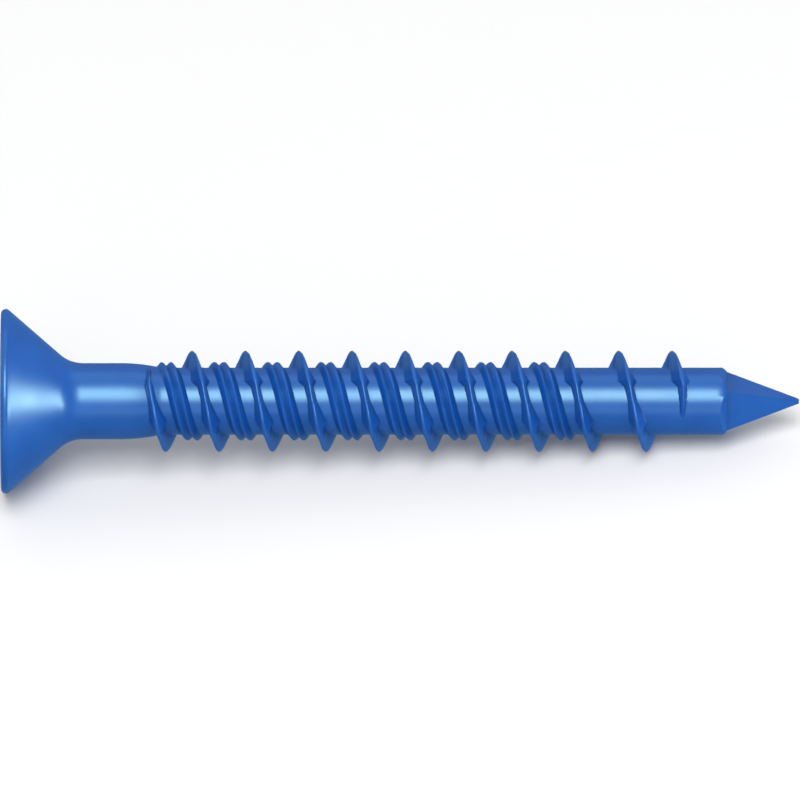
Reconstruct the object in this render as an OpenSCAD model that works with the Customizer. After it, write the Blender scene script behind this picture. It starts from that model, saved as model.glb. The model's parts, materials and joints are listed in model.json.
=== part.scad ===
// Flat-head concrete screw with a notched high thread and a double-ridged low thread.
// The screw is modelled on its own axis, head face at zero and point upwards,
// and is then laid down on the rim of its head and the last turn of its thread.

/* [Overall] */
// Length from the head face to the tip of the point
overall_length = 57.15; // [44:0.05:100]

/* [Head] */
// Largest diameter of the countersunk head
head_diameter = 13.24; // [11.5:0.02:15]
// Included angle of the countersink
head_angle = 82; // [76:1:90]
// Radius of the rounded rim between the face and the countersink
rim_radius = 0.34; // [0.2:0.01:0.5]
// Radius of the hollow blend between the countersink and the shank
neck_radius = 2.5; // [1.5:0.05:3.5]

/* [Drive recess] */
// Span of the cross recess across opposite wings, at the head face
recess_span = 7.3; // [6:0.1:8.5]
// Span of the wings at the bottom of the recess
recess_floor_span = 3.4; // [2.6:0.1:4]
// Depth of the wings below the head face
recess_depth = 4.2; // [3:0.1:4.8]
// Thickness of each wing
wing_thickness = 2; // [1.4:0.05:2.4]
// Diameter of the tapered well where the wings meet, at the head face
well_diameter = 4.4; // [3.6:0.1:5.2]
// Diameter of that well at the bottom of the wings
well_floor_diameter = 2.4; // [1.8:0.1:2.6]
// Depth of the cone below the wings
well_tip_depth = 0.7; // [0.3:0.05:1]

/* [Shank] */
// Diameter of the plain shank
shank_diameter = 5.46; // [5.1:0.02:6]
// Distance from the head face to the end of the plain shank
shank_end = 8.6; // [7.5:0.05:12]
// Length of the rounded shoulder that runs down to the core
shoulder_length = 2.86; // [1.5:0.02:4]

/* [Core and point] */
// Diameter of the core between the threads
core_diameter = 4.81; // [4.4:0.01:5]
// Length of the bevels between the round core and the square point
bevel_length = 0.5; // [0.3:0.05:0.8]
// Length of the turned chamfer that trims the core between the bevels
chamfer_length = 0.3; // [0.1:0.05:0.3]
// Length of the square point
point_length = 5.15; // [3.5:0.05:8]
// Width of the square point across its corners, at its base
point_width = 4.42; // [3.6:0.02:4.6]
// Width across the corners of the blunt tip
tip_width = 0.36; // [0.2:0.02:0.8]
// Angle of the point's first corner about the axis
point_turn = -17.9; // [-45:0.1:45]

/* [High thread] */
// Distance between turns, shared by both threads
pitch = 3.82; // [3.4:0.01:4.4]
// Diameter over the crest of the high thread
high_diameter = 7.24; // [6.4:0.02:8]
// Width of the flat along the crest
high_land = 0.2; // [0.1:0.01:0.3]
// Distance from the head face to the first full section of the high thread
high_start = 10.64; // [10:0.02:12.5]
// Plain length of core kept clear between the high thread and the bevels
lead_length = 2.6; // [1.5:0.05:5]
// Teeth in one turn
teeth_per_turn = 5; // [4:1:6]
// Width of the root where a tooth is thin, just past its notch
thin_root = 0.62; // [0.4:0.02:0.8]
// Width of the root where a tooth is full, at its wall
full_root = 1.28; // [1:0.02:1.5]
// Arc along which a tooth stays thin
thin_arc = 19; // [12:1:22]
// Arc along the crest of the steep wall from a full tooth to the next thin one
wall_arc = 7.5; // [6:0.5:12]
// Arc along the foot of that wall
wall_foot_arc = 10.5; // [8:0.5:14]
// Arc by which the wall's crest lies ahead of its foot, on the full tooth
wall_lean_arc = 9; // [4:0.5:10]
// Arc of the run-in before the first tooth
run_in_arc = 44; // [30:1:60]
// Width of the root along the run-in, just before it flares to the first tooth
run_in_root = 0.26; // [0.2:0.02:0.4]
// Arc of the run-out after the last tooth
run_out_arc = 52; // [35:1:70]

/* [Low thread] */
// Diameter over the two ridges of the low thread
low_diameter = 5.66; // [5.3:0.02:6]
// Diameter at the bottom of the groove between the ridges
low_groove_diameter = 5.08; // [5.02:0.02:5.2]
// Distance between the crests of the two ridges
ridge_spacing = 0.62; // [0.5:0.02:0.7]
// Width of the flat along each ridge
ridge_land = 0.14; // [0.08:0.01:0.2]
// Width of both ridges together, at the core
low_root = 1.34; // [1.2:0.02:1.5]
// Turns by which the low thread is shorter than the high thread
low_shortfall = 2.5; // [1:0.5:5]
// Arc along which the low thread rises at each end
low_fade_arc = 30; // [20:1:60]

/* [Rest pose] */
// Tooth, counted back from the last one, that carries the lying screw
rest_tooth = 3; // [1:1:5]

/* [Hidden] */
$fn = 96;

head_radius = head_diameter / 2;
flank_angle = head_angle / 2;
shank_radius = shank_diameter / 2;
core_radius = core_diameter / 2;
high_radius = high_diameter / 2;
low_radius = low_diameter / 2;
core_end = overall_length - point_length - bevel_length;

// Depth to which the foot of each thread is sunk below the core, and cuts past a face
foot_sink = 0.3;
overcut = 0.5;
// Distance kept between the end of the chamfer and the corners of the point
corner_margin = 0.06;
arc_steps = 8;
ramp_steps = 4;
run_steps = 3;
flare_arc = 10;
low_step = 15;

// One tooth is a thin stretch, a ramp and a wall
tooth_arc = 360 / teeth_per_turn;
ramp_arc = tooth_arc - thin_arc - wall_arc - wall_lean_arc;
// Arc by which the crest of a thin start lies ahead of its foot
thin_lean_arc = wall_lean_arc + wall_arc - wall_foot_arc;
tooth_count = floor((core_end - lead_length - high_start) / pitch * teeth_per_turn);
high_arc = tooth_count * tooth_arc;
// The first tooth's place about the axis, and where the low thread begins to rise
first_tooth_turn = -19;
low_full_turn = -90;
low_turn = low_full_turn - low_fade_arc;
low_start = high_start + pitch * ((low_turn - first_tooth_turn) / 360 + 1 / 2);
low_arc = high_arc - 360 * low_shortfall + 2 * low_fade_arc;

// Points of an arc about a centre, from one angle to another
function arc(centre, radius, from, to, steps = arc_steps) =
    [for (i = [0 : steps]) let (a = from + (to - from) * i / steps)
        centre + radius * [cos(a), sin(a)]];

function polar(radius, angle, z) = [radius * cos(angle), radius * sin(angle), z];

// Rim and neck of the head: centres of the two arcs that the countersink joins
rim_centre = [head_radius - rim_radius, rim_radius];
rim_end = rim_centre + rim_radius * [cos(flank_angle), sin(flank_angle)];
neck_r = shank_radius + neck_radius;
neck_z = rim_end.y + (neck_radius - (neck_r - rim_end.x) * cos(flank_angle)) / sin(flank_angle);

// The shoulder leaves the shank in line with it and meets the core at an edge
shoulder_drop = shank_radius - core_radius;
shoulder_radius = (shoulder_length ^ 2 + shoulder_drop ^ 2) / (2 * shoulder_drop);
shoulder_sweep = asin(shoulder_length / shoulder_radius);

body_outline = concat(
    [[0, 0]],
    arc(rim_centre, rim_radius, -90, flank_angle),
    arc([neck_r, neck_z], neck_radius, 180 + flank_angle, 180),
    arc([shank_radius - shoulder_radius, shank_end], shoulder_radius, 0, shoulder_sweep),
    [
        [core_radius, core_end + bevel_length - chamfer_length],
        [point_width / 2 + corner_margin, core_end + bevel_length],
        [0, core_end + bevel_length]
    ]
);

// Stations of the high thread: root angle, crest angle, half width of the root, rise of the crest
function tooth_stations(start) = concat(
    [[start - thin_lean_arc, start, thin_root / 2, 1]],
    [for (i = [0 : ramp_steps]) let (t = i / ramp_steps)
        [start + thin_arc + ramp_arc * t,
         start + thin_arc + (ramp_arc + wall_lean_arc) * t,
         (thin_root + (full_root - thin_root) * t) / 2,
         1]]
);

high_stations = concat(
    [for (i = [0 : run_steps]) let (t = i / run_steps, a = (run_in_arc - flare_arc) * t - run_in_arc)
        [a, a, (high_land + (run_in_root - high_land) * t) / 2, t]],
    [for (i = [0 : tooth_count - 1]) each tooth_stations(i * tooth_arc)],
    [for (i = [0 : run_steps]) let (t = i / run_steps, a = high_arc + run_out_arc * t)
        [a - thin_lean_arc * (1 - t), a, (thin_root + (high_land - thin_root) * t) / 2, 1 - t]]
);

// The helix holds its height along the run-in and the run-out
function high_z(angle) = high_start + pitch * min(max(angle, 0), high_arc) / 360;

function high_section(s) =
    let (
        foot = s[2] + (s[2] - high_land / 2) * foot_sink / (high_radius - core_radius),
        foot_radius = core_radius - foot_sink,
        crest_radius = core_radius - foot_sink / 2 + s[3] * (high_radius - core_radius + foot_sink / 2),
        root_turn = first_tooth_turn + s[0],
        crest_turn = first_tooth_turn + s[1]
    )
    [
        polar(foot_radius, root_turn, high_z(s[0]) - foot),
        polar(crest_radius, crest_turn, high_z(s[1]) - high_land / 2),
        polar(crest_radius, crest_turn, high_z(s[1]) + high_land / 2),
        polar(foot_radius, root_turn, high_z(s[0]) + foot)
    ];

// Section of the low thread: place along the axis and height above the core
low_profile = [
    [-low_root / 2, 0],
    [-(ridge_spacing + ridge_land) / 2, low_radius - core_radius],
    [-(ridge_spacing - ridge_land) / 2, low_radius - core_radius],
    [0, low_groove_diameter / 2 - core_radius],
    [(ridge_spacing - ridge_land) / 2, low_radius - core_radius],
    [(ridge_spacing + ridge_land) / 2, low_radius - core_radius],
    [low_root / 2, 0]
];

// Rise of the low thread from nothing to full height at each end
function low_rise(angle) = min(1, max(0, min(angle, low_arc - angle) / low_fade_arc));

function low_section(angle) =
    let (
        z = low_start + pitch * angle / 360,
        rise = low_rise(angle),
        sunk = foot_sink / 2 * (1 - rise)
    )
    [for (p = low_profile)
        polar(
            core_radius + (p.y > 0 ? p.y * rise - sunk : -foot_sink),
            low_turn + angle,
            z + p.x
        )];

// Closed skin over a row of like sections
module sweep(sections) {
    n = len(sections[0]);
    last = (len(sections) - 1) * n;
    polyhedron(
        points = [for (s = sections) each s],
        faces = concat(
            [[for (j = [n - 1 : -1 : 0]) j]],
            [for (i = [0 : len(sections) - 2], j = [0 : n - 1])
                let (a = i * n + j, b = i * n + (j + 1) % n)
                each [[a, b + n, a + n], [a, b, b + n]]],
            [[for (j = [0 : n - 1]) last + j]]
        )
    );
}

module high_thread() {
    sweep([for (s = high_stations) high_section(s)]);
}

module low_thread() {
    steps = ceil(low_arc / low_step);
    sweep([for (i = [0 : steps]) low_section(low_arc * i / steps)]);
}

// Four flats that bevel the end of the round core down to the square point
module bevel_cut() {
    flare = (core_diameter * sqrt(2) - point_width) / 2 / bevel_length;
    translate([0, 0, core_end])
        difference() {
            translate([0, 0, -overcut])
                cylinder(h = bevel_length + 2 * overcut, r = core_radius + overcut);
            rotate(point_turn)
                translate([0, 0, -overcut])
                    cylinder(
                        h = bevel_length + overcut,
                        r1 = point_width / 2 + flare * (bevel_length + overcut),
                        r2 = point_width / 2,
                        $fn = 4
                    );
        }
}

module point() {
    translate([0, 0, core_end + bevel_length])
        rotate(point_turn)
            cylinder(h = point_length, r1 = point_width / 2, r2 = tip_width / 2, $fn = 4);
}

module wing() {
    slope = (recess_span - recess_floor_span) / 2 / recess_depth;
    mouth = recess_span / 2 + slope * overcut;
    rotate([90, 0, 0])
        linear_extrude(height = wing_thickness, center = true)
            polygon([
                [-mouth, -overcut],
                [mouth, -overcut],
                [recess_floor_span / 2, recess_depth],
                [-recess_floor_span / 2, recess_depth]
            ]);
}

module drive_recess() {
    slope = (well_diameter - well_floor_diameter) / 2 / recess_depth;
    wing();
    rotate(90)
        wing();
    rotate_extrude()
        polygon([
            [0, -overcut],
            [well_diameter / 2 + slope * overcut, -overcut],
            [well_floor_diameter / 2, recess_depth],
            [0, recess_depth + well_tip_depth]
        ]);
}

// The whole screw, upright on its head face
module upright_screw() {
    difference() {
        rotate_extrude()
            polygon(body_outline);
        drive_recess();
        bevel_cut();
    }
    point();
    high_thread();
    low_thread();
}

// Rest: the crest touches at both ends of one tooth's thin stretch
rest_first = high_arc - rest_tooth * tooth_arc;
rest_z = high_z(rest_first + thin_arc / 2) + high_land / 2;
chord_radius = high_radius * cos(thin_arc / 2);
rest_reach = [rest_z - rim_radius, rim_centre.x - chord_radius];
rest_tilt = atan2(rest_reach.y, rest_reach.x) + asin(rim_radius / norm(rest_reach));
// Small roll by which the two ends of that stretch touch together
chord_rise = high_z(rest_first + thin_arc) - high_z(rest_first);
rest_roll = asin(chord_rise * tan(rest_tilt) / (2 * high_radius * sin(thin_arc / 2)));
rest_turn = first_tooth_turn + rest_first + thin_arc / 2 - rest_roll;
rest_height = rim_radius + rim_radius * sin(rest_tilt) + rim_centre.x * cos(rest_tilt);
rest_back = rim_radius * cos(rest_tilt) - rim_centre.x * sin(rest_tilt) - rim_radius;
rest_front = overall_length * cos(rest_tilt) + tip_width / 2 * sin(rest_tilt);

module concrete_screw() {
    color("#2f63b2")
        translate([-(rest_back + rest_front) / 2, 0, rest_height])
            rotate([0, 90 + rest_tilt, 0])
                rotate(-rest_turn)
                    upright_screw();
}

concrete_screw();
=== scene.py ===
import json
import bpy
import numpy as np
from mathutils import Matrix, Vector


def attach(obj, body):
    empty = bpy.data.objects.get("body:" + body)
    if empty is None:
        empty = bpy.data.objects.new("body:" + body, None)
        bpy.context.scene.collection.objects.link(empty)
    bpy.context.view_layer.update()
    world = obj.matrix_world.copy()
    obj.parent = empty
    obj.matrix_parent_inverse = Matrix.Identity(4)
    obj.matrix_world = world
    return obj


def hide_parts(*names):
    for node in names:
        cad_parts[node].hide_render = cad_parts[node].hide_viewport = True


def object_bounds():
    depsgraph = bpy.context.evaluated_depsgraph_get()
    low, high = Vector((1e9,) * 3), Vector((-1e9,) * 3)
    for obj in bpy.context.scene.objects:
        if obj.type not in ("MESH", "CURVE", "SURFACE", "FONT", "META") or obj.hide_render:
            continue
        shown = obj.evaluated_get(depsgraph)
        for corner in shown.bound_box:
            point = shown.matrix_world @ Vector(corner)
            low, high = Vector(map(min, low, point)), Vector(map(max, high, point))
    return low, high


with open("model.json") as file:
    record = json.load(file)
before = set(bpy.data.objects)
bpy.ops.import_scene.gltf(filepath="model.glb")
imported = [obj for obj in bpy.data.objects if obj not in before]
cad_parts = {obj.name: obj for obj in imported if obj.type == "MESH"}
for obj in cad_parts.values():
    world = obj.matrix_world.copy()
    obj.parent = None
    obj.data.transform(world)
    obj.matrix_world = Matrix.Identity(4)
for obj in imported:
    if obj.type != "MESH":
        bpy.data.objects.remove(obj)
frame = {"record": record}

cadBox = [list(corner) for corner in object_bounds()]
scene = bpy.context.scene
millimetre = 0.001                  # in the frame's metres
print("frame loaded, box in mm", [[round(v / millimetre, 2) for v in corner] for corner in cadBox])

# Sizes are in millimetres and angles in degrees. The screw is worked out upright, with its head's face at
# z = 0, its point upwards and x towards the camera, and is laid down into the frame at the end.
columns = 120                       # round the axis, in every band: 5 teeth of 24, or 4 wings of 30
leastBlend = 1e-6                   # least width of a blend, so that it never divides by nothing


# What a smooth maximum adds where a and b meet: a parabola k/4 deep that ends where they are k apart
def cornerBlend(a, b, k):
    k = np.maximum(k, leastBlend)
    return np.maximum(k - np.abs(a - b), 0) ** 2 / (4 * k)


# The larger of a and b, with the blend added where they meet
def smoothMax(a, b, k):
    return np.maximum(a, b) + cornerBlend(a, b, k)


# The smaller of a and b, with the blend taken off where they meet
def smoothMin(a, b, k):
    return np.minimum(a, b) - cornerBlend(a, b, k)


# Points from a radius, an angle and a height: x = r cos a, y = r sin a, z = z
def polarPoints(radius, angle, height):
    radius, angle, height = np.broadcast_arrays(radius, np.radians(angle), height)
    return np.stack([radius * np.cos(angle), radius * np.sin(angle), height], axis=-1)


# Points (r, z) of an arc from one angle to another: its centre plus the radius times cosine and sine
def arcPoints(centre, radius, start, end, steps):
    a = np.radians(np.linspace(start, end, steps + 1))
    return np.stack([centre[0] + radius * np.cos(a), centre[1] + radius * np.sin(a)], axis=-1)


# Head, neck, plain shank and core
body = {
    "headDiameter": 13.23,          # a hair under the solid's, which keeps the skin inside its box
    "headAngle": 82,
    "rimRadius": 0.34,
    "neckRadius": 2.5,
    "shankDiameter": 5.46,
    "shankEnd": 8.6,
    "shoulderLength": 2.86,
    "shoulderBlend": 0.03,          # softens the edge where the shoulder meets the core
    "coreDiameter": 4.81,
    "faceRows": 5,
    "rimRows": 10,
    "coneRows": 14,
    "neckRows": 14,
    "shankRows": 8,
    "shoulderRows": 8,
}
headRadius = body["headDiameter"] / 2
shankRadius = body["shankDiameter"] / 2
coreRadius = body["coreDiameter"] / 2

# Arc that drops from shank to core: (length squared + drop squared) over twice the drop
shoulderDrop = shankRadius - coreRadius
shoulderRadius = (body["shoulderLength"] ** 2 + shoulderDrop ** 2) / (2 * shoulderDrop)


# Radius of the plain body past the neck: the shank, an arc that leaves it in line, then the core
def bodyRadius(z):
    along = np.clip(z - body["shankEnd"], 0, 2 * body["shoulderLength"])    # ends well inside the core
    arc = shankRadius - shoulderRadius + np.sqrt(shoulderRadius ** 2 - along ** 2)
    return smoothMax(arc, coreRadius, body["shoulderBlend"])


# Profile (r, z) of head and shank up to a height: rim arc, cone, neck arc, shank and shoulder. The neck's
# arc touches the shank and the cone, which gives its centre.
def headProfile(top):
    rim, neck = body["rimRadius"], body["neckRadius"]
    flank = body["headAngle"] / 2
    slope = np.radians(flank)
    rimArc = arcPoints((headRadius - rim, rim), rim, -90, flank, body["rimRows"])
    neckR = shankRadius + neck
    neckZ = rimArc[-1, 1] + (neck - (neckR - rimArc[-1, 0]) * np.cos(slope)) / np.sin(slope)
    neckArc = arcPoints((neckR, neckZ), neck, 180 + flank, 180, body["neckRows"])
    cone = np.linspace(rimArc[-1], neckArc[0], body["coneRows"] + 1)[1:-1]
    shankZ = np.linspace(neckZ, body["shankEnd"], body["shankRows"] + 1)[1:]
    shoulderZ = np.linspace(body["shankEnd"], top, body["shoulderRows"] + 1)[1:-1]
    z = np.concatenate([shankZ, shoulderZ])
    return np.concatenate([rimArc, cone, neckArc, np.stack([bodyRadius(z), z], axis=-1)]), neckZ


# Cross recess in the head's face
recess = {
    "span": 7.3,
    "floorSpan": 3.4,
    "depth": 4.2,
    "wingThickness": 2.0,
    "wellDiameter": 4.4,
    "wellFloorDiameter": 2.4,
    "wellTipDepth": 0.7,
    "innerCorner": 1.55,            # least distance from the axis to the cross's rounded inner corners
    "lipRadius": 0.1,               # rounding of the recess's edge at the face
    "lipRows": 4,
    "wallRows": 10,
    "coneRows": 5,
    "endColumns": 8,                # columns across a wing's end, along one side and round the well
    "sideColumns": 6,
    "wellColumns": 10,
    "columnShift": 2,               # columns from the skin's first to a corner of the first wing
}


# Loops round the cross, one for each depth. A quarter runs across a wing's end, in along its side, round
# the well and out along the next wing, and the others are the same, turned by 90 degrees.
def crossLoops(halfSpan, halfThickness, wellRadius):
    span, thick, well = [np.reshape(v, (-1, 1)) for v in (halfSpan, halfThickness, wellRadius)]
    inner = np.sqrt(well ** 2 - thick ** 2)
    end = np.linspace(-1, 1, recess["endColumns"] + 1)[:-1]
    side = np.linspace(0, 1, recess["sideColumns"] + 1)[:-1]
    first = np.arctan2(thick, inner)
    angle = first + (np.pi / 2 - 2 * first) * np.linspace(0, 1, recess["wellColumns"] + 1)[:-1]
    x = [span + 0 * end, span + (inner - span) * side, well * np.cos(angle), thick + 0 * side]
    y = [thick * end, thick + 0 * side, well * np.sin(angle), inner + (span - inner) * side]
    x, y = np.concatenate(x, axis=1), np.concatenate(y, axis=1)
    loopX = np.concatenate([x, -y, -x, y], axis=1)
    loopY = np.concatenate([y, x, -y, -x], axis=1)
    return np.roll(np.stack([loopX, loopY], axis=-1), recess["columnShift"], axis=1)


# Rows of the recess from the tip of its well up to the face: a cone, the floor of the wings, walls whose
# spans change evenly with depth, and a lip that is a quarter circle
def recessRows():
    depth, lip = recess["depth"], recess["lipRadius"]
    turn = np.radians(np.linspace(0, 90, recess["lipRows"] + 1))[1:]
    wallZ = np.linspace(depth, lip, recess["wallRows"] + 1)
    z = np.concatenate([wallZ, lip - lip * np.sin(turn)])
    out = np.concatenate([0 * wallZ, lip - lip * np.cos(turn)])
    share = z / depth
    halfSpan = (recess["span"] + (recess["floorSpan"] - recess["span"]) * share) / 2 + out
    well = (recess["wellDiameter"] + (recess["wellFloorDiameter"] - recess["wellDiameter"]) * share) / 2
    well = np.maximum(well, recess["innerCorner"]) + out
    loops = crossLoops(halfSpan, recess["wingThickness"] / 2 + out, well)
    walls = np.concatenate([loops, np.broadcast_to(z[:, None, None], loops.shape[:2] + (1,))], axis=-1)
    floorAngle = np.degrees(np.arctan2(loops[0, :, 1], loops[0, :, 0]))
    coneShare = np.linspace(0, 1, recess["coneRows"])[:, None]
    coneZ = depth + recess["wellTipDepth"] * (1 - coneShare)
    cone = polarPoints(recess["wellFloorDiameter"] / 2 * coneShare, floorAngle, coneZ)
    return np.concatenate([cone, walls])


# High thread: a fin of full height whose root swells along each tooth and steps back at a wall
highThread = {
    "pitch": 3.82,
    "diameter": 7.24,
    "land": 0.2,
    "start": 10.64,
    "toothCount": 50,
    "teethPerTurn": 5,
    "firstToothTurn": -19,
    "thinRoot": 0.62,
    "fullRoot": 1.28,
    "thinArc": 19,
    "wallArc": 7.5,
    "wallFootArc": 10.5,
    "wallLeanArc": 9,
    "runInArc": 44,
    "runInRoot": 0.26,
    "flareArc": 10,
    "runOutArc": 52,
    "leastTaper": 0.03,             # least width of a flank, seen along the radius
    "crestRound": 0.085,            # half width of the rounding at each edge of the crest
    "footRound": 0.04,              # and of the fillet at the foot
    "thinColumns": 6,               # columns of one tooth along its thin stretch, ramp and wall
    "rampColumns": 14,
    "wallColumns": 4,
    "restTooth": 3,                 # tooth, counted back from the last, that carries the lying screw
}
pitch = highThread["pitch"]
highRadius = highThread["diameter"] / 2
toothArc = 360 / highThread["teethPerTurn"]
highArc = highThread["toothCount"] * toothArc
toothParts = [highThread[part] for part in ("thinColumns", "rampColumns", "wallColumns")]
toothMarks = np.cumsum([0] + toothParts)    # columns at which a tooth's parts begin and end


# Columns of one turn: angles at the foot and at the crest, and half the root's width. All three run
# straight between the corners of each tooth.
def toothColumns():
    t = highThread
    thinLean = t["wallLeanArc"] + t["wallArc"] - t["wallFootArc"]
    crest = [0, t["thinArc"], toothArc - t["wallArc"], toothArc]
    foot = [-thinLean, t["thinArc"], toothArc - t["wallArc"] - t["wallLeanArc"], toothArc - thinLean]
    half = [t["thinRoot"] / 2, t["thinRoot"] / 2, t["fullRoot"] / 2, t["thinRoot"] / 2]
    one = [np.interp(np.arange(toothMarks[-1]), toothMarks, v) for v in (foot, crest, half)]
    foot, crest, half = [np.tile(v, t["teethPerTurn"]) for v in one]
    start = np.repeat(np.arange(t["teethPerTurn"]) * toothArc, toothMarks[-1])
    return foot + start, crest + start, half


# Columns that run along a tooth's corners, where its thin stretch, ramp and wall meet
def toothCorners():
    return np.isin(np.arange(columns) % toothMarks[-1], toothMarks)


# Radius of the crest. A thin stretch is a straight chord: the full radius times the cosine of half its
# arc, over the cosine of the angle from its middle.
def crestRadius(angle):
    half = highThread["thinArc"] / 2
    fromMiddle = np.minimum(np.mod(angle, toothArc), highThread["thinArc"]) - half
    return highRadius * np.cos(np.radians(half)) / np.cos(np.radians(fromMiddle))


# Radius of the fin at a distance from its middle: two straight flanks, cut off at the crest and rounded
# there. The second value is the blend for the fillet at its foot.
def finRadius(distance, half, top):
    slope = (top - coreRadius) / np.maximum(half - highThread["land"] / 2, highThread["leastTaper"])
    flank = coreRadius + slope * (half - np.abs(distance))
    return smoothMin(flank, top, highThread["crestRound"] * slope), highThread["footRound"] * slope


# Low thread: two rounded ridges half a pitch from the fin
lowThread = {
    "diameter": 5.66,
    "grooveDiameter": 5.08,
    "ridgeSpacing": 0.62,
    "ridgeLand": 0.14,
    "root": 1.34,
    "ridgeRound": 0.11,
    "grooveRound": 0.06,
    "footRound": 0.06,
    "fullTurn": -90,                # angle of its first full section
    "shortfall": 2.5,               # turns that it is shorter than the high thread
    "fadeArc": 30,                  # arc of each faded end
    "sunk": 0.1,                    # depth below the core at which the faded ends lie
}


# Height of the ridges above the core at a distance from the groove's middle: a V groove and two slopes,
# rounded in the groove and over the ridges
def ridgeHeight(distance):
    t = lowThread
    top = t["diameter"] / 2 - coreRadius
    groove = t["grooveDiameter"] / 2 - coreRadius
    innerSlope = (top - groove) / ((t["ridgeSpacing"] - t["ridgeLand"]) / 2)
    outerSlope = top / ((t["root"] - t["ridgeSpacing"] - t["ridgeLand"]) / 2)
    inner = groove + innerSlope * (np.hypot(distance, t["grooveRound"]) - t["grooveRound"])
    outer = outerSlope * (t["root"] / 2 - np.abs(distance))
    return smoothMin(smoothMin(inner, outer, t["ridgeRound"]), top, t["ridgeRound"])


# Rise of the low thread at an angle past its first full section: 1 plus the angle inside the nearer of its
# first and last full sections, over the arc of a faded end, held from 0 to 1
def lowRise(angle):
    full = highArc - 360 * lowThread["shortfall"]
    return np.clip(np.minimum(angle, full - angle) / lowThread["fadeArc"] + 1, 0, 1)


# Rows of the band that carries both threads
threadBand = {
    "first": 10.0,                  # heights of the plain rings at its two ends
    "last": 49.7,
    "ridgeRows": 12,                # rows from the groove of the low thread out to its foot
    "ridgeSpread": 0.78,
    "plainRows": 4,                 # rows on the bare core, on each side of the fin
    "finRows": 11,                  # rows on each side of the fin's crest
    "finSpread": 1.16,              # share of the root's half width that they cover
    "finCrowding": 0.08,            # how far they crowd towards the crest and the foot
    "leastHalf": 0.31,              # least half width that they are spread over
    "creaseShare": 0.03,            # share of the fin's height above which tooth corners are creases
}


# The threaded band: rows follow the helix and columns cross it. One pitch of rows goes from the groove of
# the low thread over the bare core, over the fin and back to the next groove. The radius is the smooth
# maximum of the plain body, the fin and the ridges, and a column leans from its foot to its crest as the
# fin rises. The height is the start plus pitch times angle over 360, plus the row's place.
def threadRows():
    t, b = highThread, threadBand
    footAngle, crestAngle, toothHalf = toothColumns()
    turn = np.arange(-1, int(np.ceil(highArc / 360)) + 1)[:, None, None]
    foot, crest = footAngle + 360 * turn, crestAngle + 360 * turn

    # The fin sinks and narrows along its run-in and run-out, and keeps its place along the axis there
    before, after = crest < 0, crest >= highArc
    runIn = np.clip((crest + t["runInArc"]) / (t["runInArc"] - t["flareArc"]), 0, 1)
    runOut = np.clip((crest - highArc) / t["runOutArc"], 0, 1)
    flare = np.clip(crest / t["flareArc"] + 1, 0, 1)
    inHalf = (t["land"] + (t["runInRoot"] - t["land"]) * runIn) / 2
    inHalf = inHalf + (t["thinRoot"] / 2 - inHalf) * flare
    outHalf = (t["thinRoot"] + (t["land"] - t["thinRoot"]) * runOut) / 2
    half = np.where(before, inHalf, np.where(after, outHalf, toothHalf))
    rise = np.where(before, runIn, 1 - runOut)
    top = coreRadius + rise * (np.where(before | after, highRadius, crestRadius(crest)) - coreRadius)
    held = np.clip(crest, -t["runInArc"], 0) + np.clip(crest - highArc, 0, t["runOutArc"])
    centre = -pitch * held / 360

    # Places of the rows across one pitch, from the middle of one groove to that of the next
    ridge = np.linspace(0, b["ridgeSpread"], b["ridgeRows"])[:, None]
    plain = np.linspace(0, 1, b["plainRows"] + 2)[1:-1, None]
    even = np.linspace(-1, 1, 2 * b["finRows"] + 1)[:, None]
    fin = even - b["finCrowding"] * np.sin(2 * np.pi * even)
    spread = b["finSpread"] * np.maximum(half, b["leastHalf"])
    ridgeEdge = pitch / 2 - b["ridgeSpread"]
    parts = [
        -pitch / 2 + ridge + 0 * centre,
        -ridgeEdge + (centre - spread + ridgeEdge) * plain,
        centre + spread * fin,
        centre + spread + (ridgeEdge - centre - spread) * plain,
        pitch / 2 - ridge[:0:-1] + 0 * centre,
    ]
    place = np.concatenate(parts, axis=1)

    # Radius, angle and height of every point, and the creases along the teeth's corners
    fromRidge = pitch / 2 - np.abs(place)
    lowAngle = foot + t["firstToothTurn"] - lowThread["fullTurn"] - 360 * (place < 0)
    rising = lowRise(lowAngle)
    low = coreRadius + rising * ridgeHeight(fromRidge) - lowThread["sunk"] * (1 - rising)
    finR, finFoot = finRadius(place - centre, half, top)
    share = np.clip((finR - coreRadius) / (highRadius - coreRadius), 0, 1)
    angle = foot + (crest - foot) * share
    z = t["start"] + pitch * angle / 360 + place
    radius = smoothMax(smoothMax(bodyRadius(z), finR, finFoot), low, lowThread["footRound"])
    crease = toothCorners() & (share > b["creaseShare"])
    rows = [np.reshape(v, (-1, columns)) for v in (radius, angle + t["firstToothTurn"], z, crease)]
    rowsPerTurn = place.shape[1]
    return rows, footAngle + t["firstToothTurn"], rowsPerTurn


# Bevels and square point
point = {
    "length": 57.15,
    "pointLength": 5.15,
    "bevelLength": 0.5,
    "chamferLength": 0.3,
    "cornerMargin": 0.06,           # distance between the end of the chamfer and the point's corners
    "width": 4.42,
    "tipWidth": 0.36,
    "turn": -17.9,
    "leadRows": 6,
    "bevelRows": 6,
    "pointRows": 10,
}


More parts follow.
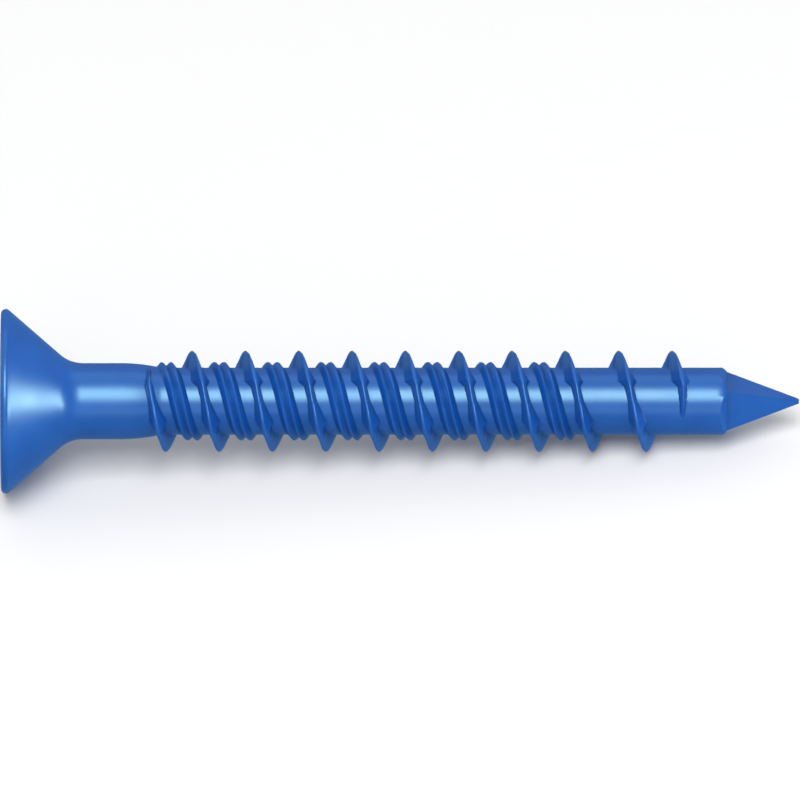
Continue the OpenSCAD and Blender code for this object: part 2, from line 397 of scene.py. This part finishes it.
# Rows from the end of the threads to the tip: plain core whose columns turn to the point's corners, four
# bevel planes with a turned chamfer between them, and a square pyramid. A flat's radius is its distance
# from the axis over the cosine of the angle from its middle.
def pointRows(firstZ, firstAngle):
    p = point
    base = p["length"] - p["pointLength"]
    bevelZ = base - p["bevelLength"]
    corner = p["width"] / 2
    flat = corner / np.sqrt(2)
    angle = p["turn"] + np.arange(columns) * 360 / columns
    across = np.cos(np.radians(np.mod(angle - p["turn"], 90) - 45))     # cosine from a flat's middle
    lead = np.linspace(0, 1, p["leadRows"] + 1)[1:-1, None]
    leadZ = firstZ + (bevelZ - firstZ) * lead
    rows = [polarPoints(coreRadius, firstAngle + (angle - firstAngle) * lead, leadZ)]

    chamferZ = base - p["chamferLength"]
    startZ = bevelZ + p["bevelLength"] * coreRadius * (1 - across) / (coreRadius - flat)
    startZ = np.minimum(startZ, chamferZ)
    z = startZ + (base - startZ) * np.linspace(0, 1, p["bevelRows"] + 1)[:, None]
    plane = (coreRadius + (flat - coreRadius) * (z - bevelZ) / p["bevelLength"]) / across
    chamferShare = np.clip((z - chamferZ) / p["chamferLength"], 0, 1)
    chamfer = coreRadius + (corner + p["cornerMargin"] - coreRadius) * chamferShare
    rows.append(polarPoints(np.minimum(plane, chamfer), angle, z))

    share = np.linspace(0, 1, p["pointRows"] + 1)[1:, None]
    width = corner + (p["tipWidth"] / 2 - corner) * share
    rows.append(polarPoints(width / np.sqrt(2) / across, angle, base + p["pointLength"] * share))
    rows.append(polarPoints(0, angle[None], p["length"]))
    return np.concatenate(rows)


# All rows of the skin, from the tip of the recess over the head and along the screw to the tip of the
# point, and for each point the index that stands for it: a row of the threads that lies past an end ring
# is that ring. The other values are the threads' place among the rows and which points lie on a crease.
def skinGrid():
    (radius, angle, z, crease), threadAngle, rowsPerTurn = threadRows()
    firstZ, lastZ = threadBand["first"], threadBand["last"]
    profile, neckZ = headProfile(firstZ)
    evenAngle = highThread["firstToothTurn"] + np.arange(columns) * 360 / columns
    share = np.clip((profile[:, 1:] - neckZ) / (firstZ - neckZ), 0, 1)
    head = polarPoints(profile[:, :1], evenAngle + (threadAngle - evenAngle) * share, profile[:, 1:])
    hollow = recessRows()
    steps = np.linspace(0, 1, body["faceRows"] + 1)[1:-1, None, None]
    face = hollow[-1] + (head[0] - hollow[-1]) * steps
    threads = polarPoints(radius, angle, z)
    firstRing = polarPoints(bodyRadius(firstZ), threadAngle, firstZ)[None]
    lastRing = polarPoints(coreRadius, threadAngle, lastZ)[None]
    tip = pointRows(lastZ, threadAngle)
    bands = [hollow, face, head, firstRing, threads, lastRing, tip]
    firstAt, threadsAt, lastAt = np.cumsum([len(band) for band in bands])[2:5]
    points = np.concatenate(bands)

    index = np.arange(points.shape[0] * columns).reshape(-1, columns)
    inThreads = np.where(z >= lastZ, index[lastAt], index[threadsAt:lastAt])
    index[threadsAt:lastAt] = np.where(z <= firstZ, index[firstAt], inThreads)
    index[0] = index[0, 0]          # the two poles are one point each
    index[-1] = index[-1, 0]
    onCrease = np.zeros(index.shape, bool)
    onCrease[threadsAt:lastAt] = crease
    return points.reshape(-1, 3), index, (firstAt, lastAt, rowsPerTurn), onCrease.ravel()


# Triangles between neighbouring rows and columns. Past the last column a row of the threads goes on as
# the row one turn further, and any other row closes on itself. Those that shrink to an edge are dropped.
def skinTriangles(index, threads):
    first, last, rowsPerTurn = threads
    row = np.arange(len(index))
    onward = np.where((row >= first) & (row <= last), np.minimum(row + rowsPerTurn, last), row)
    onward = np.where(row == first, first, onward)
    wrapped = np.concatenate([index, index[onward, :1]], axis=1)
    a, b = wrapped[:-1, :-1], wrapped[:-1, 1:]
    c, d = wrapped[1:, 1:], wrapped[1:, :-1]
    halves = [np.stack([a, b, c], axis=-1), np.stack([a, c, d], axis=-1)]
    triangles = np.concatenate(halves).reshape(-1, 3)
    same = (triangles == np.roll(triangles, 1, axis=1)).any(axis=1)
    return triangles[~same]


# Matrix from the upright screw, in millimetres, to the frame, in metres. Tilt and place come from the
# record's recess. The turn about the axis lays the chord of one tooth's thin stretch on the floor: the
# sine of its roll is the chord's rise along the axis times the tilt's tangent, over the chord's length.
def layingMatrix():
    t = highThread
    mount = next(m for m in frame["record"]["mounts"] if m["name"] == "drive_recess")
    tilt = np.arcsin(mount["axis"][2])
    half = np.radians(t["thinArc"] / 2)
    chordRise = pitch * t["thinArc"] / 360
    roll = np.arcsin(chordRise * np.tan(tilt) / (2 * highRadius * np.sin(half)))
    turn = np.radians(t["firstToothTurn"] + highArc - t["restTooth"] * toothArc) + half - roll
    lying = Matrix.Rotation(np.pi / 2 + tilt, 4, "Y") @ Matrix.Rotation(-turn, 4, "Z")
    return Matrix.Translation(Vector(mount["pos_m"])) @ lying @ Matrix.Scale(millimetre, 4)


# How far each point lies in a hollow, from 0 to 1: the mean slope of its neighbours above its tangent
# plane, over the slope of a full hollow, then averaged with theirs in one or more passes
def hollowShare(corners, triangles, fullSlope, passes):
    a, b, c = [corners[triangles[:, k]] for k in range(3)]
    faceNormal = np.cross(b - a, c - a)
    normal = np.zeros_like(corners)
    for k in range(3):
        np.add.at(normal, triangles[:, k], faceNormal)
    normal /= np.linalg.norm(normal, axis=1, keepdims=True)
    here = triangles.ravel()
    there = np.roll(triangles, -1, axis=1).ravel()
    step = corners[there] - corners[here]
    slope = (step * normal[here]).sum(axis=1) / np.linalg.norm(step, axis=1)
    valence = np.bincount(here)
    share = np.clip(np.bincount(here, weights=slope) / valence / fullSlope, 0, 1)
    for _ in range(passes):
        share = (share + np.bincount(here, weights=share[there]) / valence) / 2
    return share


# The whole skin: one closed mesh that stands for the screw
shading = {
    "sharpEdge": 28,                # least angle of an edge that is shaded as a corner
    "hollowSlope": 0.10,            # mean slope round a point that counts as a full hollow
    "hollowPasses": 1,
}
laying = layingMatrix()
points, index, threads, onCrease = skinGrid()
triangles = skinTriangles(index, threads)
used, triangles = np.unique(triangles, return_inverse=True)
triangles = triangles.reshape(-1, 3)
placing = np.array(laying)
vertices = points[used] @ placing[:3, :3].T + placing[:3, 3]
mesh = bpy.data.meshes.new("concrete_screw_skin")
mesh.from_pydata(vertices.tolist(), [], triangles.tolist())

# Smooth shading, sharp at steep edges and along the creases
mesh.shade_smooth()
mesh.set_sharp_from_angle(angle=np.radians(shading["sharpEdge"]))
edges = np.empty(2 * len(mesh.edges), int)
mesh.edges.foreach_get("vertices", edges)
sharp = np.empty(len(mesh.edges), bool)
mesh.attributes["sharp_edge"].data.foreach_get("value", sharp)
sharp |= onCrease[used][edges.reshape(-1, 2)].all(axis=1)
mesh.attributes["sharp_edge"].data.foreach_set("value", sharp)
# The hollow share drives the coating's painted shade, a deeper blue in the hollows
hollow = hollowShare(points[used], triangles, shading["hollowSlope"], shading["hollowPasses"])
mesh.attributes.new("hollow", "FLOAT", "POINT").data.foreach_set("value", hollow)
skin = bpy.data.objects.new("concrete_screw_skin", mesh)
scene.collection.objects.link(skin)
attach(skin, "root")
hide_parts("concrete_screw")
print("skin", len(mesh.vertices), "points", len(mesh.polygons), "triangles")


# Blue coating: semi-gloss, a little uneven in colour and shine, with painted shade as a deeper blue in the
# corners and hollows, and a fine orange-peel surface
coating = {
    "deep": (0.003, 0.053, 0.272, 1),
    "light": (0.006, 0.074, 0.350, 1),
    # painted shade: the darker blue that the hollows are mixed towards
    "paintedShade": (0.002, 0.028, 0.155, 1),
    "paintedShadeMost": 0.70,           # share of the painted-shade blue in a full hollow
    "mottleScale": 420,             # cells to a metre
    "mottleDetail": 1,
    "mottleRange": (0.1, 0.9),      # noise values of the deep and the light blue
    "roughness": (0.29, 0.37),      # at the same two values
    "shine": 1.0,
    "shineTint": (0.50, 0.93, 0.95, 1),
    "peelScale": 1300,
    "peelDetail": 2,
    "peelStrength": 0.05,
    "peelDistance": 0.00002,
}


# The colour is a mottled blue, mixed towards a darker blue of painted shade by the skin's hollow share.
# The roughness follows the mottle, and a finer noise bumps the surface.
def coatingMaterial():
    material = bpy.data.materials.new("blue_coating")
    material.use_nodes = True
    nodes, links = material.node_tree.nodes, material.node_tree.links
    shader = nodes["Principled BSDF"]
    shader.inputs["Specular IOR Level"].default_value = coating["shine"]
    shader.inputs["Specular Tint"].default_value = coating["shineTint"]
    place = nodes.new("ShaderNodeTexCoord")

    # Colour and shine follow one slow noise
    low, high = coating["mottleRange"]
    mottle = nodes.new("ShaderNodeTexNoise")
    mottle.inputs["Scale"].default_value = coating["mottleScale"]
    mottle.inputs["Detail"].default_value = coating["mottleDetail"]
    tint = nodes.new("ShaderNodeValToRGB")
    tint.color_ramp.elements[0].position = low
    tint.color_ramp.elements[0].color = coating["deep"]
    tint.color_ramp.elements[1].position = high
    tint.color_ramp.elements[1].color = coating["light"]
    dullness = nodes.new("ShaderNodeMapRange")
    dullness.inputs["From Min"].default_value = low
    dullness.inputs["From Max"].default_value = high
    dullness.inputs["To Min"].default_value = coating["roughness"][0]
    dullness.inputs["To Max"].default_value = coating["roughness"][1]
    links.new(place.outputs["Object"], mottle.inputs["Vector"])
    links.new(mottle.outputs["Fac"], tint.inputs["Fac"])
    links.new(mottle.outputs["Fac"], dullness.inputs["Value"])
    links.new(dullness.outputs["Result"], shader.inputs["Roughness"])

    # Painted shade: a deeper blue in the hollows
    hollowPlace = nodes.new("ShaderNodeAttribute")
    hollowPlace.attribute_name = "hollow"
    amount = nodes.new("ShaderNodeMath")
    amount.operation = "MULTIPLY"
    amount.inputs[1].default_value = coating["paintedShadeMost"]
    shadeMix = nodes.new("ShaderNodeMix")
    shadeMix.data_type = "RGBA"
    shadeMix.inputs["B"].default_value = coating["paintedShade"]
    links.new(hollowPlace.outputs["Fac"], amount.inputs[0])
    links.new(amount.outputs["Value"], shadeMix.inputs["Factor"])
    links.new(tint.outputs["Color"], shadeMix.inputs["A"])
    links.new(shadeMix.outputs["Result"], shader.inputs["Base Color"])

    # Orange peel
    peel = nodes.new("ShaderNodeTexNoise")
    peel.inputs["Scale"].default_value = coating["peelScale"]
    peel.inputs["Detail"].default_value = coating["peelDetail"]
    bump = nodes.new("ShaderNodeBump")
    bump.inputs["Strength"].default_value = coating["peelStrength"]
    bump.inputs["Distance"].default_value = coating["peelDistance"]
    links.new(place.outputs["Object"], peel.inputs["Vector"])
    links.new(peel.outputs["Fac"], bump.inputs["Height"])
    links.new(bump.outputs["Normal"], shader.inputs["Normal"])
    return material


skin.data.materials.append(coatingMaterial())
print("coating done")

# Floor and world
studio = {
    "floorSize": 6.0,
    "floorColour": (0.70, 0.70, 0.70, 1),
    "floorRoughness": 0.9,
    "worldColour": (0.97, 0.98, 1.0, 1),
    "worldStrength": 0.35,
    "lowColour": (0.42, 0.82, 1.28, 1),     # below the horizon, where only the coating's shine sees it
    "horizonBlend": 0.1,                    # height of a direction over which the two colours blend
}


# A pale square at the height of the screw's underside
def addFloor():
    half = studio["floorSize"] / 2
    floorMesh = bpy.data.meshes.new("floor")
    z = cadBox[0][2]
    corners = [(-half, -half, z), (half, -half, z), (half, half, z), (-half, half, z)]
    floorMesh.from_pydata(corners, [], [(0, 1, 2, 3)])
    floor = bpy.data.objects.new("floor", floorMesh)
    scene.collection.objects.link(floor)
    material = bpy.data.materials.new("floor_paper")
    material.use_nodes = True
    shader = material.node_tree.nodes["Principled BSDF"]
    shader.inputs["Base Color"].default_value = studio["floorColour"]
    shader.inputs["Roughness"].default_value = studio["floorRoughness"]
    floorMesh.materials.append(material)
    floor.visible_glossy = False    # keeps its white out of the coating's shine


# Soft boxes: place in the frame, width and height in metres, and watts
softBoxes = {
    "top_box": ((0.0, -0.27, 0.60), (0.34, 0.38), 4.2),
    "top_halo": ((0.0, -0.27, 0.60), (0.62, 0.76), 1.0),
    "point_side_box": ((0.62, -0.08, 0.045), (0.34, 0.09), 2.2),
    "front_box": ((0.0, -0.85, 0.22), (0.90, 0.35), 0.9),
    "back_box": ((0.0, 0.55, 0.75), (1.20, 0.60), 1.5),
    "left_box": ((-0.75, 0.25, 0.35), (0.60, 0.50), 0.8),
}


# A white soft box that faces the screw
def addSoftBox(name, place, size, watts):
    light = bpy.data.lights.new(name, "AREA")
    light.shape = "RECTANGLE"
    light.size, light.size_y = size
    light.energy = watts
    box = bpy.data.objects.new(name, light)
    box.location = place
    box.rotation_euler = (-Vector(place)).to_track_quat("-Z", "Y").to_euler()
    scene.collection.objects.link(box)


# Camera square to the axis, with a long lens
camera = {
    "lens": 1500.0,
    "sensor": 36.0,
    "clip": (0.01, 20),
    "picture": 800,
    "headFaceAt": 1.1,              # picture places of the head's face, the tip and the axis
    "tipAt": 798.9,
    "axisAt": 401.2,
}


# The screw's length in the picture gives the pixels to a metre. The distance is the picture's width in
# pixels times lens over sensor, over those.
def addCamera():
    c = camera
    perMetre = (c["tipAt"] - c["headFaceAt"]) / (point["length"] * millimetre)
    data = bpy.data.cameras.new("camera")
    data.lens, data.sensor_width = c["lens"], c["sensor"]
    data.clip_start, data.clip_end = c["clip"]
    turn = laying.to_3x3().normalized()
    back, down, along = turn.col[0], turn.col[1], turn.col[2]
    distance = c["picture"] * c["lens"] / c["sensor"] / perMetre
    middle = laying.translation + along * (c["picture"] / 2 - c["headFaceAt"]) / perMetre
    middle -= down * (c["axisAt"] - c["picture"] / 2) / perMetre
    place = middle + back * distance
    rows = [(along[i], -down[i], back[i], place[i]) for i in range(3)]
    eye = bpy.data.objects.new("camera", data)
    eye.matrix_world = Matrix(rows + [(0, 0, 0, 1)])
    scene.collection.objects.link(eye)
    scene.camera = eye


# World: pale above the horizon and blue below it, by the height of the direction
def addWorld():
    world = bpy.data.worlds.new("studio")
    world.use_nodes = True
    nodes, links = world.node_tree.nodes, world.node_tree.links
    light = nodes["Background"]
    light.inputs["Strength"].default_value = studio["worldStrength"]
    direction = nodes.new("ShaderNodeTexCoord")
    split = nodes.new("ShaderNodeSeparateXYZ")
    rise = nodes.new("ShaderNodeMapRange")
    rise.inputs["From Min"].default_value = -studio["horizonBlend"]
    rise.inputs["From Max"].default_value = 0
    blend = nodes.new("ShaderNodeMix")
    blend.data_type = "RGBA"
    blend.inputs["A"].default_value = studio["lowColour"]
    blend.inputs["B"].default_value = studio["worldColour"]
    links.new(direction.outputs["Generated"], split.inputs["Vector"])
    links.new(split.outputs["Z"], rise.inputs["Value"])
    links.new(rise.outputs["Result"], blend.inputs["Factor"])
    links.new(blend.outputs["Result"], light.inputs["Color"])
    scene.world = world


addFloor()
for name, settings in softBoxes.items():
    addSoftBox(name, *settings)
addCamera()
addWorld()
scene.view_settings.view_transform = "Standard"
print("studio done")
